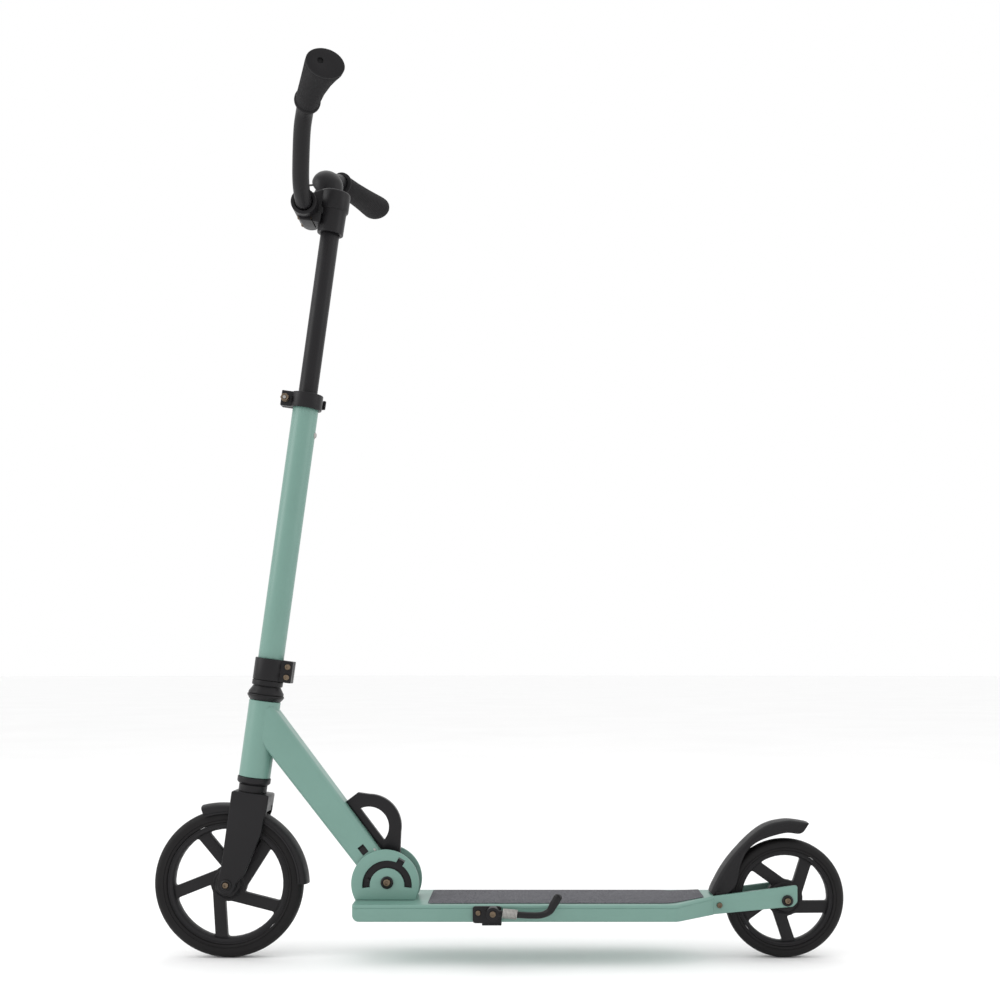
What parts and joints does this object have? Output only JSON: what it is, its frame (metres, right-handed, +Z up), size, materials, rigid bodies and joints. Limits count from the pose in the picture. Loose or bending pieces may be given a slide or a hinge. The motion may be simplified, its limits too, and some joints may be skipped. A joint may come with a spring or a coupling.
{
  "type": "kick scooter",
  "caption": "Folding big-wheel kick scooter with a telescopic stem, riser handlebar, rear fender brake, side kickstand and finger-ring fold lock.",
  "frame": {"origin": "on the ground under the middle of the bounding box, at the middle of the scooter's width", "axes": "+X to the rear wheel, +Y to the rider's right, +Z up"},
  "size_m": [0.928, 0.5044, 1.1153],
  "materials": {
    "mint_paint": "satin mint-green powder coat",
    "black_paint": "satin black paint",
    "black_plastic": "fine-textured black moulding",
    "grip_rubber": "ribbed soft rubber",
    "tyre_rubber": "smooth polyurethane tread",
    "grip_tape": "coarse dark-grey abrasive tape",
    "steel": "zinc-plated steel",
    "bronze_bolt": "bronze-tinted plated steel"
  },
  "bodies": {
    "deck": {"deck": "mint_paint", "griptape": "grip_tape", "hinge_plate_left": "mint_paint", "hinge_plate_right": "mint_paint", "hinge_bolt": "bronze_bolt", "hinge_nut": "bronze_bolt", "rear_arm_left": "mint_paint", "rear_arm_right": "mint_paint", "rear_axle": "bronze_bolt", "rear_axle_nut": "bronze_bolt", "brake_bolt": "bronze_bolt", "brake_spring": "steel", "kickstand_bracket": "black_paint", "kickstand_screw": "bronze_bolt", "kickstand_pivot_bolt": "bronze_bolt"},
    "front_frame": {"head_tube": "mint_paint", "down_tube": "mint_paint", "hinge_knuckle": "black_paint", "fold_stop_pin": "black_paint", "lock_lever_pin": "steel", "headset_lower_cup": "black_paint", "headset_upper_cup": "black_paint"},
    "lock_lever": {"lock_lever": "black_paint"},
    "lock_bolt": {"lock_bolt": "black_paint"},
    "fork": {"fork": "black_paint", "front_fender": "black_plastic", "front_axle": "bronze_bolt", "front_axle_nut": "bronze_bolt", "headset_cone": "black_paint", "stem_clamp": "black_paint", "stem_clamp_bolt_lower": "bronze_bolt", "stem_clamp_bolt_upper": "bronze_bolt", "stem_outer_tube": "mint_paint", "stem_bush": "black_plastic", "qr_collar": "black_paint", "qr_skewer": "steel", "qr_nut": "bronze_bolt"},
    "qr_lever": {"qr_lever": "black_paint"},
    "snap_button": {"snap_button": "steel"},
    "handle": {"stem_inner_tube": "black_paint", "stem_head": "black_paint", "bar_clamp_bolt_left": "bronze_bolt", "bar_clamp_bolt_right": "bronze_bolt", "handlebar": "black_paint", "grip_left": "grip_rubber", "grip_right": "grip_rubber", "bell_base": "black_plastic", "bell_dome": "black_paint"},
    "bell_striker": {"bell_striker": "steel"},
    "front_wheel": {"front_tyre": "tyre_rubber", "front_rim": "black_plastic", "front_bearing_left": "steel", "front_bearing_right": "steel"},
    "rear_wheel": {"rear_tyre": "tyre_rubber", "rear_rim": "black_plastic", "rear_bearing_left": "steel", "rear_bearing_right": "steel"},
    "brake": {"rear_fender": "black_plastic"},
    "kickstand": {"kickstand_leg": "black_paint", "kickstand_spring": "steel"}
  },
  "joints": [
    {"name": "fold", "type": "hinge", "parent": "deck", "child": "front_frame", "pos_m": [-0.149, 0, 0.104], "axis": [0, 1, 0], "range_deg": [0, 82]},
    {"name": "lock_lever_pull", "type": "hinge", "parent": "front_frame", "child": "lock_lever", "pos_m": [-0.16651, 0, 0.14658], "axis": [0, 1, 0], "range_deg": [0, 12], "stiffness_Nm_per_rad": 0.6, "springref_deg": -11.46},
    {"name": "lock_bolt_draw", "type": "slide", "parent": "front_frame", "child": "lock_bolt", "axis": [-0.6046, 0, 0.7965], "range_m": [0, 0.0026]},
    {"name": "steer", "type": "hinge", "parent": "front_frame", "child": "fork", "pos_m": [-0.3504, 0, 0.1], "axis": [0.1366, 0, 0.9906], "continuous": true},
    {"name": "front_wheel_spin", "type": "hinge", "parent": "fork", "child": "front_wheel", "pos_m": [-0.364, 0, 0.1], "axis": [0, 1, 0], "continuous": true},
    {"name": "stem_height", "type": "slide", "parent": "fork", "child": "handle", "axis": [0.1366, 0, 0.9906], "range_m": [-0.215, 0]},
    {"name": "qr_lever_swing", "type": "hinge", "parent": "fork", "child": "qr_lever", "pos_m": [-0.28808, 0.0158, 0.75336], "axis": [0.1366, 0, 0.9906], "range_deg": [0, 120]},
    {"name": "snap_button_press", "type": "slide", "parent": "fork", "child": "snap_button", "axis": [-0.9906, 0, 0.1366], "range_m": [0, 0.002], "stiffness_N_per_m": 600, "springref_m": -0.001},
    {"name": "bell_striker_flick", "type": "hinge", "parent": "handle", "child": "bell_striker", "pos_m": [-0.26216, 0.07502, 1.07189], "axis": [0.3954, -0.7625, 0.5121], "range_deg": [0, 25], "stiffness_Nm_per_rad": 0.02, "springref_deg": -5.73},
    {"name": "rear_wheel_spin", "type": "hinge", "parent": "deck", "child": "rear_wheel", "pos_m": [0.384, 0, 0.08], "axis": [0, 1, 0], "continuous": true},
    {"name": "brake_press", "type": "hinge", "parent": "deck", "child": "brake", "pos_m": [0.2936, 0, 0.074], "axis": [0, 1, 0], "range_deg": [0, 3.5], "stiffness_Nm_per_rad": 8, "springref_deg": -5.73},
    {"name": "kickstand_swing", "type": "hinge", "parent": "deck", "child": "kickstand", "pos_m": [-0.0063, 0, 0.072], "axis": [0, 1, 0], "range_deg": [0, 125]}
  ],
  "couplings": [
    {"joint": "lock_bolt_draw", "follows": "lock_lever_pull", "m_per_rad": 0.0124}
  ]
}
